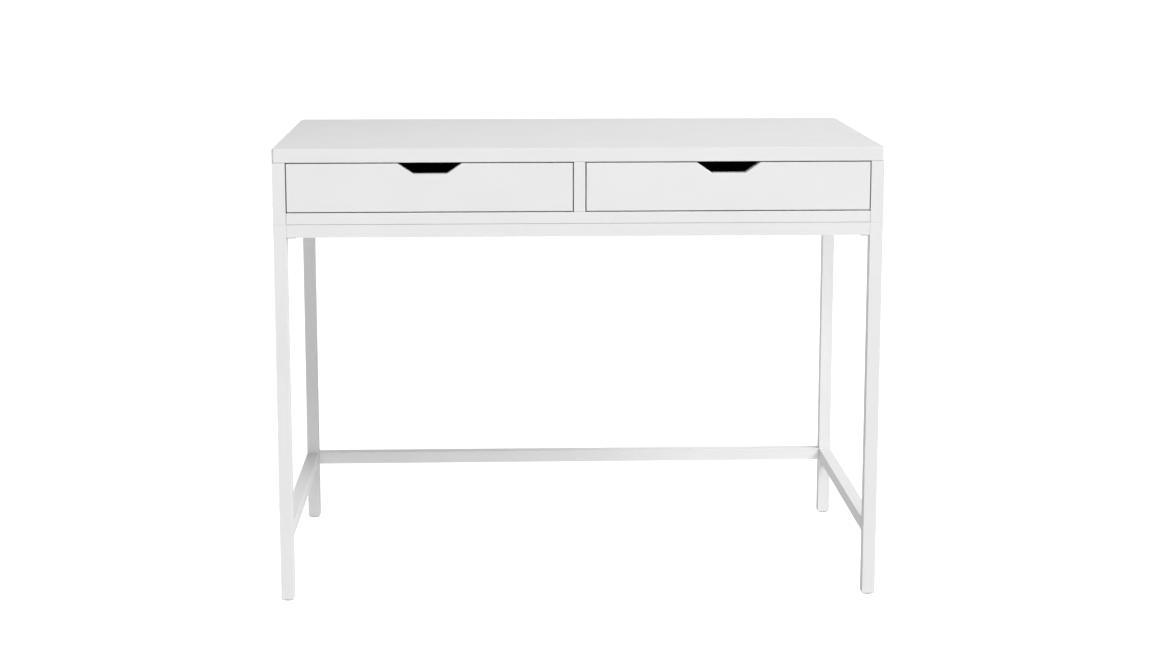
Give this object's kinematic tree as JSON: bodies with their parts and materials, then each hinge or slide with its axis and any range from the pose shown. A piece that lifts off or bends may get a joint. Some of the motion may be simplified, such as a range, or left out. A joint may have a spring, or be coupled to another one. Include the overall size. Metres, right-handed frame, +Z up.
{
  "type": "writing desk",
  "caption": "Slim painted writing desk on square legs with low side and rear stretchers; its flat case holds inset drawers with finger notches on full-extension slides.",
  "frame": {"origin": "on the floor, under the middle of the desk's bounding box", "axes": "+X to the right of someone sitting at the desk, -Y the way the drawers open, +Z up"},
  "size_m": [1, 0.52, 0.762],
  "materials": {
    "white_paint": "satin white paint on smooth board and solid wood, edges slightly eased",
    "drawer_birch": "birch plywood under a clear satin lacquer",
    "slide_steel": "bright zinc-plated rolled steel",
    "fastener_steel": "zinc-plated steel",
    "cam_zinc": "die-cast zinc, dull",
    "glide_nylon": "white nylon, matt"
  },
  "bodies": {
    "desk_frame": {"top_panel": "white_paint", "case_side_left": "white_paint", "case_side_right": "white_paint", "centre_divider": "white_paint", "case_bottom": "white_paint", "case_back": "white_paint", "front_rail": "white_paint", "rear_rail": "white_paint", "rear_stretcher": "white_paint", "leg_front_left": "white_paint", "foot_glide_front_left": "glide_nylon", "case_screw_front_left": "fastener_steel", "leg_rear_left": "white_paint", "foot_glide_rear_left": "glide_nylon", "case_screw_rear_left": "fastener_steel", "side_rail_left": "white_paint", "side_stretcher_left": "white_paint", "cam_bolt_front_rail_left": "fastener_steel", "cam_lock_front_rail_left": "cam_zinc", "cam_bolt_rear_rail_left": "fastener_steel", "cam_lock_rear_rail_left": "cam_zinc", "cam_bolt_rear_stretcher_left": "fastener_steel", "cam_lock_rear_stretcher_left": "cam_zinc", "leg_front_right": "white_paint", "foot_glide_front_right": "glide_nylon", "case_screw_front_right": "fastener_steel", "leg_rear_right": "white_paint", "foot_glide_rear_right": "glide_nylon", "case_screw_rear_right": "fastener_steel", "side_rail_right": "white_paint", "side_stretcher_right": "white_paint", "cam_bolt_front_rail_right": "fastener_steel", "cam_lock_front_rail_right": "cam_zinc", "cam_bolt_rear_rail_right": "fastener_steel", "cam_lock_rear_rail_right": "cam_zinc", "cam_bolt_rear_stretcher_right": "fastener_steel", "cam_lock_rear_stretcher_right": "cam_zinc", "left_drawer_slide_left_outer": "slide_steel", "left_drawer_slide_right_outer": "slide_steel", "right_drawer_slide_left_outer": "slide_steel", "right_drawer_slide_right_outer": "slide_steel"},
    "left_drawer": {"left_drawer_front": "white_paint", "left_drawer_back": "drawer_birch", "left_drawer_bottom": "drawer_birch", "left_drawer_side_left": "drawer_birch", "left_drawer_side_right": "drawer_birch", "left_drawer_slide_left_inner": "slide_steel", "left_drawer_slide_right_inner": "slide_steel"},
    "left_slide_middles": {"left_drawer_slide_left_middle": "slide_steel", "left_drawer_slide_right_middle": "slide_steel"},
    "right_drawer": {"right_drawer_front": "white_paint", "right_drawer_back": "drawer_birch", "right_drawer_bottom": "drawer_birch", "right_drawer_side_left": "drawer_birch", "right_drawer_side_right": "drawer_birch", "right_drawer_slide_left_inner": "slide_steel", "right_drawer_slide_right_inner": "slide_steel"},
    "right_slide_middles": {"right_drawer_slide_left_middle": "slide_steel", "right_drawer_slide_right_middle": "slide_steel"}
  },
  "joints": [
    {"name": "left_drawer_slide", "type": "slide", "parent": "desk_frame", "child": "left_drawer", "axis": [0, -1, 0], "range_m": [0, 0.45]},
    {"name": "left_middle_slide", "type": "slide", "parent": "desk_frame", "child": "left_slide_middles", "axis": [0, -1, 0], "range_m": [0, 0.225]},
    {"name": "right_drawer_slide", "type": "slide", "parent": "desk_frame", "child": "right_drawer", "axis": [0, -1, 0], "range_m": [0, 0.45]},
    {"name": "right_middle_slide", "type": "slide", "parent": "desk_frame", "child": "right_slide_middles", "axis": [0, -1, 0], "range_m": [0, 0.225]}
  ],
  "couplings": [
    {"joint": "left_middle_slide", "follows": "left_drawer_slide", "ratio": 0.5},
    {"joint": "right_middle_slide", "follows": "right_drawer_slide", "ratio": 0.5}
  ]
}
